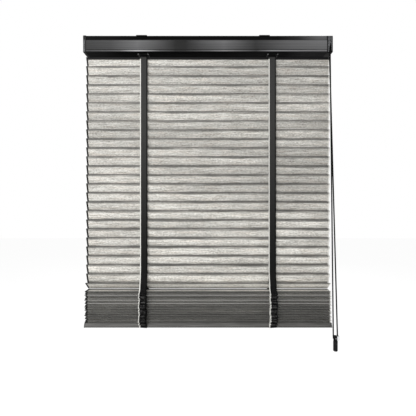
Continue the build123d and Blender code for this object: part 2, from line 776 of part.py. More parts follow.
# Pale keeper that holds the cord on the pulley
keeper_left = weight_x + cheek_half_width
keeper_middle = keeper_left + keeper_reach / 2
with BuildPart() as cord_keeper:
    with BuildSketch(Plane.XY.offset(pulley_z + cheek_rise - keeper_height)) as keeper_section:
        with Locations((keeper_middle, weight_y)):
            Rectangle(keeper_reach, 2 * cheek_outer)
        fillet(keeper_section.vertices().group_by(Axis.X)[-1], radius=keeper_corner)
        with Locations((keeper_middle - keeper_wall, weight_y)):
            Rectangle(keeper_reach, 2 * cheek_inner, mode=Mode.SUBTRACT)
    extrude(amount=keeper_height)
pieces["cord_keeper"] = cord_keeper.part

os.makedirs("parts", exist_ok=True)
for name, piece in pieces.items():
    piece.label = name
    export_step(piece, f"parts/{name}.step")
print(len(pieces), "pieces, control cord", round(loop_route.wire().length), "mm long")
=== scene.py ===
import math

import bmesh
import bpy
import numpy as np
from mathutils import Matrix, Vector


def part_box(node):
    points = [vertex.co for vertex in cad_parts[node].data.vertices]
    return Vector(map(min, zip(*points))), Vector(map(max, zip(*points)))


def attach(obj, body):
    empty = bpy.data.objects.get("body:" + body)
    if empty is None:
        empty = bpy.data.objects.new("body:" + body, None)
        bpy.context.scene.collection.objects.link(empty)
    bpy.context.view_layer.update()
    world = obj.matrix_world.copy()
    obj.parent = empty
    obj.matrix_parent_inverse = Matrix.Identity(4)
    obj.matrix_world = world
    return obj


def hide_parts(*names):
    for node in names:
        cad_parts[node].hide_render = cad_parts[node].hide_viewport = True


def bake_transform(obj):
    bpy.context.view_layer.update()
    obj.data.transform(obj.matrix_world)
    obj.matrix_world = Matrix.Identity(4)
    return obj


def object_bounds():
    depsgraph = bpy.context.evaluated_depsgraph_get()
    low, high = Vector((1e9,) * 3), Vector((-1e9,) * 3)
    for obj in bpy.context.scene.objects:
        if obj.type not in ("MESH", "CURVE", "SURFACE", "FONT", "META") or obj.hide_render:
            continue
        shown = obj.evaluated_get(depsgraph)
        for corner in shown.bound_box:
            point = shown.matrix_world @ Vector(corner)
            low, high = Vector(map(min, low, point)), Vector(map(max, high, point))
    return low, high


# Looks of a partly raised wooden venetian blind, in metres, in the frame of its CAD model
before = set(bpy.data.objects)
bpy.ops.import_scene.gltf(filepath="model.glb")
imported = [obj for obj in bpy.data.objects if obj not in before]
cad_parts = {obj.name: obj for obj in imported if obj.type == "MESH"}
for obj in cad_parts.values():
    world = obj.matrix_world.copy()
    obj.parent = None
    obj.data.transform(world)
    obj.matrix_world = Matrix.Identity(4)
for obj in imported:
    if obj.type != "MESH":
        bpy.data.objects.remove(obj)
cad_low, cad_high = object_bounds()

# Camera
CAMERA_DISTANCE = 1.031
CAMERA_HEIGHT = -0.554
CAMERA_LENS = 27.11
SENSOR_WIDTH = 36

# Lamps: place, size and power in watts
LAMPS = {
    "key_lamp": ((-0.6, -2.3, 0.75), 1.6, 42),
    "fill_lamp": ((-1.0, -1.2, -0.35), 1.0, 10),
    "back_lamp": ((0.3, 2.2, 0.6), 1.8, 22),
}
LAMP_AIM_Z = -0.45

# World and floor
WORLD_LIGHT = 0.42
FLOOR_DROP = 0.22
FLOOR_REACH = 6
FLOOR_GLOW = 1.1
FLOOR_GLOW_SHARE = 0.82

# Slats
SLAT_TILT = 70
LEANING_TILT = 40
SLAT_WIDTH = 0.035
SLAT_THICKNESS = 0.003
SLAT_LENGTH = 0.797
SLAT_PITCH = 0.0295
HANGING = [f"slat_{number:02d}" for number in range(1, 27)]
LEANING = HANGING[-1]

# Ladder tapes
TAPE_WIDTH = 0.024
TAPE_THICKNESS = 0.0008
TAPE_GAP = 0.0007
TAPE_COLUMNS = 9
SELVEDGE_SHARE = 0.8
SELVEDGE_SWELL = 0.2
RUNG_WIDTH = 0.008
RUNG_OFFSET = 0.007
RUNG_COLUMNS = 3
RUNG_U = SLAT_WIDTH / 2 + TAPE_GAP
RUNG_V = SLAT_THICKNESS / 2 + TAPE_GAP
FRONT_WRAP = (110, 188)
BACK_WRAP = (290, 296)
WRAP_STEPS = 12
HANG_POINTS = 60

# Folds of the tapes in the stack
FOLD_U = SLAT_WIDTH / 2 + 0.003
FOLD_DROOP = 0.0016
FOLD_REACH_CHANGE = 0.0022
FOLD_REACH_RATE = 2.3
OUTER_FOLD_STEPS = 6
INNER_FOLD_STEPS = 5
FOLD_SWAY = 0.0009
SWAY_RATE = 150
SWAY_PHASE = 9
FOLD_ROLL = 0.07
ROLL_RATE = 110
ROLL_PHASE = 5
SWAY_START = 0.02
SWAY_FADE = 0.03

# Bends of the tapes into the stack and round the bottom rail
ENTRY_OUT = 0.001
ENTRY_RISE = 0.0025
SLACK_OUT = 0.009
SLACK_RISE = 0.002
EXIT_OUT = 0.0004
EXIT_DROP = 0.003
FOOT_GAP = 0.0006
FOOT_RISE = 0.004
TAPE_END_Y = 0.0053

# Control cord
CORD_RADIUS = 0.0021
CORD_TOP = -0.0551
FRONT_CORD_Y = -0.0256
BACK_CORD_Y = -0.0206
CORD_TURN = 0.0067
CORD_BEND_SHARE = 0.027

# Meshes
SHARP_ANGLE = 45
MERGE_DISTANCE = 0.00001
CORNER_CUT_SHARE = 0.25

# Bump depths and strength
BUMP_STRENGTH = 0.6
WOOD_BUMP = 0.0004
PAINT_BUMP = 0.00006
MOTTLE_BUMP = 0.00008
STEEL_BUMP = 0.00005
WEAVE_BUMP = 0.00025
BRAID_BUMP = 0.0002

# Values between which most of a noise lies
NOISE_LOW = 0.35
NOISE_HIGH = 0.65


# The middle of a CAD node's box
def middle(node):
    low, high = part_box(node)
    return (low + high) / 2


# A grey of one level
def grey(level):
    return (level, level, level)


# A colour made darker or lighter
def toned(colour, factor):
    return tuple(min(part * factor, 1) for part in colour)


blind_x = middle(LEANING).x
tapes = {side: middle(f"{side}_drum").x for side in ("left", "right")}


# Short calls that add nodes to one material
class Nodes:
    def __init__(self, name, roughness, specular, metallic=0.0):
        self.material = bpy.data.materials.new(name)
        self.material.use_nodes = True
        self.tree = self.material.node_tree
        self.shader = self.tree.nodes["Principled BSDF"]
        self.shader.inputs["Roughness"].default_value = roughness
        self.shader.inputs["Specular IOR Level"].default_value = specular
        self.shader.inputs["Metallic"].default_value = metallic

    def add(self, kind, inputs, output=0, **settings):
        node = self.tree.nodes.new(kind)
        for name, value in settings.items():
            setattr(node, name, value)
        for socket, value in inputs.items():
            self.join(node.inputs[socket], value)
        return node.outputs[output]

    def join(self, socket, value):
        if isinstance(value, bpy.types.NodeSocket):
            self.tree.links.new(value, socket)
        else:
            socket.default_value = value

    def coordinate(self, kind):
        return self.add("ShaderNodeTexCoord", {}, kind)

    def attribute(self, name):
        return self.add("ShaderNodeAttribute", {}, "Fac", attribute_name=name)

    def split(self, vector):
        node = self.tree.nodes.new("ShaderNodeSeparateXYZ")
        self.join(node.inputs[0], vector)
        return node.outputs

    def moved(self, vector, shift):
        return self.add("ShaderNodeVectorMath", {0: vector, 1: shift}, operation="ADD")

    def scaled(self, vector, scale):
        return self.add("ShaderNodeVectorMath", {0: vector, 1: scale}, operation="MULTIPLY")

    def dot(self, vector, direction):
        return self.add("ShaderNodeVectorMath", {0: vector, 1: direction}, "Value", operation="DOT_PRODUCT")

    def math(self, operation, a, b=0.0):
        return self.add("ShaderNodeMath", {0: a, 1: b}, operation=operation)

    def plus(self, a, b):
        return self.math("ADD", a, b)

    def minus(self, a, b):
        return self.math("SUBTRACT", a, b)

    def times(self, a, b):
        return self.math("MULTIPLY", a, b)

    def most(self, a, b):
        return self.math("MAXIMUM", a, b)

    def distance(self, value, place):
        return self.math("ABSOLUTE", self.minus(value, place))

    def wave(self, value, pitch):
        return self.math("SINE", self.times(value, 2 * math.pi / pitch))

    def step(self, value, start, end, low=0.0, high=1.0):
        inputs = {"Value": value, "From Min": start, "From Max": end, "To Min": low, "To Max": high}
        return self.add("ShaderNodeMapRange", inputs, interpolation_type="SMOOTHSTEP")

    def noise(self, vector, cells, detail=2.0, roughness=0.5, distortion=0.0):
        inputs = {"Vector": self.scaled(vector, cells), "Scale": 1.0, "Detail": detail}
        inputs |= {"Roughness": roughness, "Distortion": distortion}
        return self.add("ShaderNodeTexNoise", inputs)

    def ramp(self, value, stops):
        node = self.tree.nodes.new("ShaderNodeValToRGB")
        self.join(node.inputs[0], value)
        elements = node.color_ramp.elements
        while len(elements) < len(stops):
            elements.new(0.5)
        for element, (place, colour) in zip(elements, stops):
            element.position = place
            element.color = (*colour, 1)
        return node.outputs[0]

    def two_tone(self, noise, dark, light):
        return self.ramp(noise, [(NOISE_LOW, dark), (NOISE_HIGH, light)])

    def mix(self, share, first, second):
        node = self.tree.nodes.new("ShaderNodeMix")
        node.data_type = "RGBA"
        for socket, value in ((0, share), (6, first), (7, second)):
            flat = isinstance(value, tuple)
            self.join(node.inputs[socket], (*value, 1) if flat else value)
        return node.outputs[2]

    def shade(self, colour, factor):
        return self.scaled(colour, self.add("ShaderNodeCombineXYZ", {0: factor, 1: factor, 2: factor}))

    def finish(self, colour, height=None, depth=0.0, roughness=None):
        self.join(self.shader.inputs["Base Color"], colour)
        if roughness is not None:
            self.join(self.shader.inputs["Roughness"], roughness)
        if height is not None:
            inputs = {"Height": height, "Strength": BUMP_STRENGTH, "Distance": depth}
            self.join(self.shader.inputs["Normal"], self.add("ShaderNodeBump", inputs))
        return self.material


# Grain of the slats, with noise cells in a metre along x, y and z
WANDER_CELLS = (14, 60, 60)
GRAIN_CELLS = (22, 620, 620)
FLECK_CELLS = (170, 760, 760)
FIBRE_CELLS = (50, 1500, 1500)
PATCH_CELLS = (6, 34, 34)
STREAK_CELLS = (10, 560, 560)
WARMTH_CELLS = (16, 240, 240)
SLAT_TONE_CELLS = (2, 0, 22)
GRAIN_WANDER = 0.0016
GRAIN_WEIGHT = 0.42
FLECK_WEIGHT = 0.4
FIBRE_WEIGHT = 0.12
PATCH_WEIGHT = 0.06
STREAK_NOISE = (0.52, 0.66)
STREAK_SHARE = 0.5
STREAK_COLOUR = (0.86, 0.85, 0.8)
WARMTH_NOISE = (0.46, 0.66)
WARMTH_SHARE = 0.65
WARM_TINT = (1.03, 0.972, 0.932)
WOOD_STOPS = [
    (0.39, (0.21, 0.2, 0.18)),
    (0.46, (0.39, 0.376, 0.345)),
    (0.52, (0.54, 0.53, 0.495)),
    (0.59, (0.75, 0.74, 0.695)),
]

# Levels of the slats' wood: a random tone from slat to slat, and painted light that is brightest on the
# lowest slats and dims higher up
SLAT_TONE_NOISE = (0.36, 0.64)
SLAT_TONES = (0.84, 1.08)
LOW_PAINTED_LIGHT_Z = -0.8
HIGH_PAINTED_LIGHT_Z = -0.35
LOW_PAINTED_LIGHT = 1.22
HIGH_PAINTED_LIGHT = 0.925
DULL_ROUGHNESS = 0.58
SMOOTH_ROUGHNESS = 0.44

# Dark stain along the slats' edges, with painted shade of the crevices between slats in the band on their
# faces, measured in from the edge
STAIN_AND_SHADE_CELLS = (5, 0, 46)
STAIN_AND_SHADE_WANDER = 0.007
STAIN_AND_SHADE_START = 0.0092
STAIN_AND_SHADE_FULL = 0.0036
RIM_START = 0.96
RIM_FULL = 0.76
STAIN_AND_SHADE_SHARE = 0.82
STAIN_AND_SHADE_NOISE = (0.36, 0.62)
STAIN_AND_SHADE_CHANGES = (0.72, 1.12)
STAIN_AND_SHADE_STOPS = [(0.38, (0.06, 0.059, 0.055)), (0.62, (0.135, 0.133, 0.125))]

# Slat ends, and the shadow under the headrail
END_REACH = 0.0048
GATHERED_END_REACH = 0.0072
END_BLUR = 0.0016
RIGHT_END_START = 0.005
RIGHT_END_FULL = 0.003
RIGHT_END_SHARE = 0.7
LEFT_END_COLOUR = (0.006, 0.006, 0.005)
RIGHT_END_COLOUR = (0.86, 0.85, 0.81)
SHADOW_START = 0.0098
SHADOW_FULL = 0.0068
SHADOW_GREY = 0.004

# Gathered slats: rows with a painted highlight on the edge, painted shade on the covered tops, and the
# painted fall of light down the stack
HIGHLIGHT_ROWS = (2, 5, 7)
HIGHLIGHT_START = 0.0026
HIGHLIGHT_FULL = 0.0014
HIGHLIGHT_SHARE = 0.75
HIGHLIGHT_EDGE_COLOUR = (0.27, 0.266, 0.255)
COVER_FACING = (0.8, 0.95)
COVER_FRONT_Y = -0.006
COVER_SHADE_SHARE = 0.8
COVER_SHADE_COLOUR = (0.05, 0.05, 0.047)
STACK_LIGHT_DROP = 0.03
STACK_LIGHT_LEVELS = (0.86, 1.08)


# The grain's light and dark, from four layers of noise along the bent grain
def wood_tone(nodes, place, bent):
    layers = (
        (nodes.noise(bent, GRAIN_CELLS, detail=6.0, roughness=0.66), GRAIN_WEIGHT),
        (nodes.noise(bent, FLECK_CELLS), FLECK_WEIGHT),
        (nodes.noise(bent, FIBRE_CELLS), FIBRE_WEIGHT),
        (nodes.noise(place, PATCH_CELLS), PATCH_WEIGHT),
    )
    tone = 0.0
    for layer, weight in layers:
        tone = nodes.plus(tone, nodes.times(layer, weight))
    return tone


# Pale wood with paler streaks and warmer places
def wood_colour(nodes, bent, tone):
    streak = nodes.step(nodes.noise(bent, STREAK_CELLS, detail=3.0), *STREAK_NOISE, high=STREAK_SHARE)
    warmth = nodes.step(nodes.noise(bent, WARMTH_CELLS, detail=3.0), *WARMTH_NOISE, high=WARMTH_SHARE)
    wood = nodes.mix(streak, nodes.ramp(tone, WOOD_STOPS), STREAK_COLOUR)
    return nodes.mix(warmth, wood, nodes.scaled(wood, WARM_TINT))


# Where the stain and painted shade lie: a band of stain and painted crevice shade along both edges of the
# slat's faces, and stain on its narrow sides
def stain_and_shade_mask(nodes, place, facing, wander, angle, stain_and_shade_share):
    y = nodes.split(place)["Y"]
    half = SLAT_WIDTH / 2
    offset = nodes.times(facing, SLAT_THICKNESS / 2 * math.sin(angle))
    across = nodes.math("ABSOLUTE", nodes.math("DIVIDE", nodes.minus(y, offset), math.cos(angle)))
    smudge = nodes.times(nodes.minus(wander, 0.5), STAIN_AND_SHADE_WANDER)
    # The band on the faces: stain, and painted shade of the crevice between slats
    stain_and_shade_band = nodes.step(nodes.plus(across, smudge), half - STAIN_AND_SHADE_START, half - STAIN_AND_SHADE_FULL)
    low, high = (stain_and_shade_share * change for change in STAIN_AND_SHADE_CHANGES)
    spread = nodes.step(nodes.noise(place, STAIN_AND_SHADE_CELLS), *STAIN_AND_SHADE_NOISE, low, high)
    rim = nodes.step(nodes.math("ABSOLUTE", facing), RIM_START, RIM_FULL)
    return nodes.most(nodes.times(stain_and_shade_band, spread), rim)


# Near-black left ends, bright right ends, and a painted shadow under the headrail
def slat_ends(nodes, place, colour, end_reach):
    x, _, z = nodes.split(place)
    end = nodes.minus(x, blind_x)
    half = SLAT_LENGTH / 2
    left_end = nodes.step(end, end_reach + END_BLUR - half, end_reach - half)
    right_end = nodes.step(end, half - RIGHT_END_START, half - RIGHT_END_FULL, high=RIGHT_END_SHARE)
    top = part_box(HANGING[0])[1].z
    shadow = nodes.step(z, top - SHADOW_START, top - SHADOW_FULL)
    colour = nodes.mix(left_end, colour, LEFT_END_COLOUR)
    colour = nodes.mix(right_end, colour, RIGHT_END_COLOUR)
    return nodes.mix(shadow, colour, grey(SHADOW_GREY))


# The stain and painted shade of the gathered slats, with a painted highlight on the edges of some of them
def gathered_stain_with_highlights(nodes, place, stain_and_shade, pile):
    z = nodes.split(place)["Z"]
    # Painted highlights on the edges of some gathered slats
    highlight = 0.0
    for row in HIGHLIGHT_ROWS:
        edge = nodes.distance(z, pile[row][0])
        highlight = nodes.most(highlight, nodes.step(edge, HIGHLIGHT_START, HIGHLIGHT_FULL, high=HIGHLIGHT_SHARE))
    return nodes.mix(highlight, stain_and_shade, HIGHLIGHT_EDGE_COLOUR)


# Painted light on the gathered slats: painted shade where the next slat covers them, and painted light that
# dims down the stack
def gathered_painted_light(nodes, place, facing, colour, pile):
    _, y, z = nodes.split(place)
    # Painted shade on the tops that the next slat covers
    covered_shade = nodes.times(nodes.step(facing, *COVER_FACING), nodes.step(y, COVER_FRONT_Y, 0.0))
    colour = nodes.mix(nodes.times(covered_shade, COVER_SHADE_SHARE), colour, COVER_SHADE_COLOUR)
    # Painted light that dims towards the foot of the stack
    level = nodes.step(z, pile[-1][0], pile[0][0] - STACK_LIGHT_DROP, *STACK_LIGHT_LEVELS)
    return nodes.shade(colour, level)


# Pale grained wood with a dark stain and painted crevice shade along the slat's edges, and painted light by
# height, for a slat or for a pile of gathered ones
def slat_wood(name, tilt, painted_light_tint=1.0, stain_and_shade_share=STAIN_AND_SHADE_SHARE, end_reach=END_REACH, pile=()):
    nodes = Nodes(name, roughness=0.5, specular=0.14)
    angle = math.radians(tilt)
    place = nodes.coordinate("Object")
    facing = nodes.dot(nodes.coordinate("Normal"), (0, math.sin(angle), math.cos(angle)))
    wander = nodes.noise(place, WANDER_CELLS, detail=3.0)
    bent = nodes.moved(place, nodes.scaled(wander, (0, GRAIN_WANDER, GRAIN_WANDER)))
    tone = wood_tone(nodes, place, bent)
    slat_noise = nodes.noise(place, SLAT_TONE_CELLS, detail=1.0)
    slat_tone = nodes.step(slat_noise, *SLAT_TONE_NOISE, *SLAT_TONES)
    # Painted light: the lowest slats are painted brighter and the upper ones dimmer, scaled by the tint
    height = nodes.split(place)["Z"]
    level = nodes.step(height, LOW_PAINTED_LIGHT_Z, HIGH_PAINTED_LIGHT_Z, LOW_PAINTED_LIGHT * painted_light_tint, HIGH_PAINTED_LIGHT * painted_light_tint)
    wood = nodes.shade(wood_colour(nodes, bent, tone), nodes.times(level, slat_tone))
    stain_and_shade = nodes.ramp(tone, STAIN_AND_SHADE_STOPS)
    if pile:
        stain_and_shade = gathered_stain_with_highlights(nodes, place, stain_and_shade, pile)
    colour = nodes.mix(stain_and_shade_mask(nodes, place, facing, wander, angle, stain_and_shade_share), wood, stain_and_shade)
    colour = slat_ends(nodes, place, colour, end_reach)
    if pile:
        colour = gathered_painted_light(nodes, place, facing, colour, pile)
    roughness = nodes.step(tone, NOISE_LOW, NOISE_HIGH, DULL_ROUGHNESS, SMOOTH_ROUGHNESS)
    return nodes.finish(colour, tone, WOOD_BUMP, roughness)


# Bottom rail
RAIL_GRAIN_CELLS = (10, 260, 260)
RAIL_DARK_WOOD = (0.045, 0.044, 0.041)
RAIL_LIGHT_WOOD = (0.11, 0.107, 0.101)
FOOT_LINE_COLOUR = (0.016, 0.015, 0.013)
FOOT_LINE_START = 0.0042
FOOT_LINE_FULL = 0.0026


# Dark stained wood of the bottom rail, darker along its foot
def rail_wood():
    nodes = Nodes("bottom_rail_wood", roughness=0.5, specular=0.3)
    place = nodes.coordinate("Object")
    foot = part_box("bottom_rail")[0].z
    grain = nodes.noise(place, RAIL_GRAIN_CELLS, detail=5.0, roughness=0.62, distortion=0.3)
    foot_line = nodes.step(nodes.split(place)["Z"], foot + FOOT_LINE_START, foot + FOOT_LINE_FULL)
    colour = nodes.mix(foot_line, nodes.two_tone(grain, RAIL_DARK_WOOD, RAIL_LIGHT_WOOD), FOOT_LINE_COLOUR)
    return nodes.finish(colour, grain, WOOD_BUMP)


# Headrail paint: greys of painted sheen, reflection, highlight and shade at shares of its length and of its
# height
SHEEN_START = 0.42
SHEEN_LENGTH = 0.8
SHEEN_STIR = 0.05
PAINT_BLUE = 1.02
LINE_CELLS = (2.5, 900, 900)
LINE_NOISE = (0.25, 0.75)
LINE_LEVELS = (0.82, 1.18)
CLOUD_CELLS = (9, 20, 20)
# Painted sheen along the face
FACE_SHEEN_SHARES = [
    (0.06, 0.027), (0.16, 0.04), (0.27, 0.106), (0.36, 0.043), (0.42, 0.001), (0.46, 0.001),
    (0.55, 0.066), (0.61, 0.106), (0.74, 0.026), (0.88, 0.095), (1, 0.13),
]
# Up the face: painted shade along the groove at its foot, and a painted fall into the dark band at its top
FACE_RISE_SHARES = [(0.16, 0.3), (0.175, 0.75), (0.7, 1), (0.713, 1), (0.725, 0.04)]
# The top band: a painted dark reflection, painted brighter towards the right end
BAND_SHEEN_SHARES = [(0.05, 0.006), (0.3, 0.001), (0.83, 0.003), (0.92, 0.02), (1, 0.09)]
# The bead: a painted highlight along the rounded lower edge
BEAD_SHEEN_SHARES = [
    (0.06, 0.05), (0.2, 0.09), (0.27, 0.4), (0.36, 0.07), (0.42, 0.004), (0.46, 0.004),
    (0.54, 0.08), (0.61, 0.19), (0.74, 0.045), (0.8, 0.2), (1, 0.165),
]
# The bead's painted highlight fades into painted shade at its foot
BEAD_RISE_SHARES = [(0.045, 0.3), (0.075, 0.85)]
# The underside: near-black painted shade
UNDER_SHEEN_SHARES = [(0.05, 0.014), (0.2, 0.002), (0.6, 0.002), (0.75, 0.007), (0.86, 0.006), (0.93, 0.02)]
EVEN_RISE_SHARES = [(0, 1), (1, 1)]


# Satin paint of the headrail, with a painted sheen along it, painted light and shade up it, and fine drawing
# lines
def rail_paint(name, sheen, rise, roughness, specular):
    nodes = Nodes(name, roughness, specular)
    low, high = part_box("headrail")
    place = nodes.coordinate("Object")
    x, _, z = nodes.split(place)
    lines = nodes.noise(place, LINE_CELLS, detail=4.0, roughness=0.6)
    cloud = nodes.noise(place, CLOUD_CELLS, detail=3.0)
    along = nodes.math("DIVIDE", nodes.minus(x, blind_x - SHEEN_START), SHEEN_LENGTH)
    stirred = nodes.plus(along, nodes.times(cloud, SHEEN_STIR))
    tone = nodes.ramp(stirred, [(share, (level, level, level * PAINT_BLUE)) for share, level in sheen])
    height = nodes.math("DIVIDE", nodes.minus(z, low.z), high.z - low.z)
    upward = nodes.ramp(height, [(share, grey(level)) for share, level in rise])
    level = nodes.times(upward, nodes.step(lines, *LINE_NOISE, *LINE_LEVELS))
    return nodes.finish(nodes.shade(tone, level), lines, PAINT_BUMP)


# Plastics
SPECKLE_CELLS = grey(1800)
SPECKLE_WEIGHT = 0.4
BLOTCH_CELLS = grey(60)
BLOTCH_WEIGHT = 0.6


# Moulded plastic or paint with a fine sparkle texture
def plastic(name, colour, roughness, specular=0.4, speckle=0.25):
    nodes = Nodes(name, roughness, specular)
    place = nodes.coordinate("Object")
    texture = nodes.noise(place, SPECKLE_CELLS)
    blotch = nodes.noise(place, BLOTCH_CELLS, detail=3.0)
    tone = nodes.plus(nodes.times(blotch, BLOTCH_WEIGHT), nodes.times(texture, SPECKLE_WEIGHT))
    mottled = nodes.two_tone(tone, toned(colour, 1 - speckle), toned(colour, 1 + speckle))
    return nodes.finish(mottled, texture, PAINT_BUMP)


# End units: places of the dark marks, measured from the headrail's ends and top; the top band is a painted
# dark reflection, and faces that look down get painted shade
END_CELLS = grey(330)
END_STOPS = [(0.36, (0.03, 0.0305, 0.032)), (0.64, (0.135, 0.137, 0.141))]
END_DARK = 0.006
MARK_BLUR = 0.0005
TOP_BAND = 0.0025
LEFT_TOP_BAND_EXTRA = 0.0113
LEFT_UNIT_BLUR = 0.01
LEFT_SEAM_OUT = 0.001
LEFT_SEAM_HALF = 0.0017
RIGHT_SEAM_OUT = 0.0015
RIGHT_SEAM_HALF = 0.0023
RIGHT_EDGE_OUT = 0.0158
END_UNDER_SHADE_FACING = (0.3, 0.6)


# Grey plastic of both end units, with a near-black painted dark reflection at the top and painted shade
# underneath, and near-black at the seams and at the right edge
def end_unit_plastic():
    nodes = Nodes("end_plastic", roughness=0.45, specular=0.12)
    low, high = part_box("headrail")
    place = nodes.coordinate("Object")
    x, _, z = nodes.split(place)
    mottle = nodes.noise(place, END_CELLS, detail=3.0)
    # A painted dark reflection in the band along the top, taller on the left unit
    on_left = nodes.step(x, blind_x, blind_x - LEFT_UNIT_BLUR)
    band_foot = nodes.minus(high.z - TOP_BAND, nodes.times(on_left, LEFT_TOP_BAND_EXTRA))
    dark = nodes.step(nodes.minus(z, band_foot), -MARK_BLUR, MARK_BLUR)
    seams = ((low.x - LEFT_SEAM_OUT, LEFT_SEAM_HALF), (high.x + RIGHT_SEAM_OUT, RIGHT_SEAM_HALF))
    for seam_x, half in seams:
        seam = nodes.step(nodes.distance(x, seam_x), half + MARK_BLUR, half - MARK_BLUR)
        dark = nodes.most(dark, seam)
    edge_x = high.x + RIGHT_EDGE_OUT
    dark = nodes.most(dark, nodes.step(x, edge_x - MARK_BLUR, edge_x + MARK_BLUR))
    # Painted shade on the faces that look down
    downward = nodes.dot(nodes.coordinate("Normal"), (0, 0, -1))
    dark = nodes.most(dark, nodes.step(downward, *END_UNDER_SHADE_FACING))
    colour = nodes.mix(dark, nodes.ramp(mottle, END_STOPS), grey(END_DARK))
    return nodes.finish(colour, mottle, MOTTLE_BUMP)


# Tape guides: their greys, the painted glint's reach beside the tape's middle, and its place in y
GUIDE_DARK = 0.003
GUIDE_LIGHT = 0.008
GLINT_HIGHLIGHT_GREY = 0.2
GLINT_START_X = 0.0135
GLINT_FULL_X = 0.015
GLINT_START_Y = -0.0135
GLINT_FULL_Y = -0.0155


# Dark plastic of the tape guides, with a painted glint of light at the front corners
def guide_plastic():
    nodes = Nodes("guide_plastic", roughness=0.5, specular=0.1)
    place = nodes.coordinate("Object")
    x, y, _ = nodes.split(place)
    spacing = (tapes["right"] - tapes["left"]) / 2
    beside = nodes.distance(nodes.distance(x, blind_x), spacing)
    # A painted glint at the guides' front corners
    at_corner = nodes.step(beside, GLINT_START_X, GLINT_FULL_X)
    glint = nodes.times(at_corner, nodes.step(y, GLINT_START_Y, GLINT_FULL_Y))
    texture = nodes.noise(place, SPECKLE_CELLS)
    black = nodes.two_tone(texture, grey(GUIDE_DARK), grey(GUIDE_LIGHT))
    return nodes.finish(nodes.mix(glint, black, grey(GLINT_HIGHLIGHT_GREY)), texture, PAINT_BUMP)


# Steel
STEEL_CELLS = (60, 1200, 1200)
STEEL_MARK_TONE = 0.75


# Plated steel with drawing marks along the piece
def steel(name, colour, roughness):
    nodes = Nodes(name, roughness, specular=0.5, metallic=1.0)
    marks = nodes.noise(nodes.coordinate("Object"), STEEL_CELLS, detail=3.0)
    return nodes.finish(nodes.two_tone(marks, toned(colour, STEEL_MARK_TONE), colour), marks, STEEL_BUMP)


# Weave of the tapes, with places across the tape from its middle and heights down the blind, and the tapes'
# painted light, shade and highlights
RIB_PITCH = 0.0013
PICK_PITCH = 0.0015
WEAVE_WEIGHT = 0.5
TAPE_FUZZ_CELLS = grey(900)
WEAVE_HEIGHTS = (-0.1, 1.1)
GRAIN_LEVELS = (0.72, 1.28)
TAPE_LOW_Z = -0.8
TAPE_HIGH_Z = -0.2
TAPE_PAINTED_LIGHT_GREYS = (0.005, 0.036)
TAPE_TINT = (1, 0.99, 0.97)
TAPE_SHADOW_START_Z = -0.0625
TAPE_SHADOW_FULL_Z = -0.0603
TAPE_SHADOW = 0.08
CREST_START = 0.0095
CREST_FULL = 0.0145
CREST_HIGHLIGHT_LEVELS = (0.12, 1.0)
SPARKLE_CELLS = (260, 40, 500)
SPARKLE_NOISE = (0.4, 0.65)
SPARKLE_GREYS = (0.004, 0.06)
GATHER_START = 0.03
GATHER_FULL = 0.012
RIGHT_SHADE_START = 0.0078
RIGHT_SHADE_FULL = 0.009
RIGHT_SHADE_LEVEL = 0.22
PALE_EDGE_COLOUR = (0.66, 0.655, 0.62)
PALE_EDGE_START = -0.0086
PALE_EDGE_FULL = -0.0094
PALE_EDGE_TOP_Z = -0.0662
PALE_EDGE_FULL_Z = -0.0685


# Woven tape with painted shade that darkens it towards the stack, a painted shadow under the headrail,
# painted highlights on the crests of its folds, painted shade along its right edge, and a pale line on its
# left edge
def tape_weave(stack_top):
    nodes = Nodes("tape_weave", roughness=0.8, specular=0.1)
    place = nodes.coordinate("Object")
    _, y, z = nodes.split(place)
    across = nodes.attribute("across")
    weave = nodes.times(nodes.wave(across, RIB_PITCH), nodes.wave(nodes.attribute("along"), PICK_PITCH))
    height = nodes.plus(nodes.times(weave, WEAVE_WEIGHT), nodes.noise(place, TAPE_FUZZ_CELLS))
    grain = nodes.step(height, *WEAVE_HEIGHTS, *GRAIN_LEVELS)
    # Painted light: the hanging tape is painted darker lower down
    hanging_light = nodes.step(z, TAPE_LOW_Z, TAPE_HIGH_Z, *TAPE_PAINTED_LIGHT_GREYS)
    shadow = nodes.step(z, TAPE_SHADOW_START_Z, TAPE_SHADOW_FULL_Z, 1.0, TAPE_SHADOW)
    # Painted highlights on the crests of the folds in the stack, with painted shade between them
    outward = nodes.math("ABSOLUTE", y)
    crest = nodes.step(outward, FOLD_U + CREST_START, FOLD_U + CREST_FULL, *CREST_HIGHLIGHT_LEVELS)
    sparkle = nodes.step(nodes.noise(place, SPARKLE_CELLS), *SPARKLE_NOISE, *SPARKLE_GREYS)
    folded = nodes.times(crest, sparkle)
    gathered = nodes.step(z, stack_top + GATHER_START, stack_top + GATHER_FULL)
    level = nodes.add("ShaderNodeMix", {0: gathered, 2: hanging_light, 3: folded})
    level = nodes.times(nodes.times(level, shadow), grain)
    # Painted shade along the tape's right edge
    right_shade = nodes.step(across, RIGHT_SHADE_START, RIGHT_SHADE_FULL, 1.0, RIGHT_SHADE_LEVEL)
    thread = nodes.shade(TAPE_TINT, nodes.times(level, right_shade))
    at_edge = nodes.step(across, PALE_EDGE_START, PALE_EDGE_FULL)
    # The pale line on the left edge fades out at the top, under the painted shadow of the headrail
    pale_edge = nodes.times(at_edge, nodes.step(z, PALE_EDGE_TOP_Z, PALE_EDGE_FULL_Z))
    colour = nodes.mix(pale_edge, thread, nodes.shade(PALE_EDGE_COLOUR, grain))
    return nodes.finish(colour, height, WEAVE_BUMP)


# Cords
STRAND_SLANT = 0.8
STRAND_WEIGHT = 0.4
STRAND_HEIGHTS = (-0.2, 1.2)
CORD_FUZZ_CELLS = grey(1500)
CORD_DARK_PLACE = 0.2
CORD_DARK_TONE = 0.55
CORD_LIGHT_PLACE = 0.8
CORD_LIGHT_TONE = 1.4


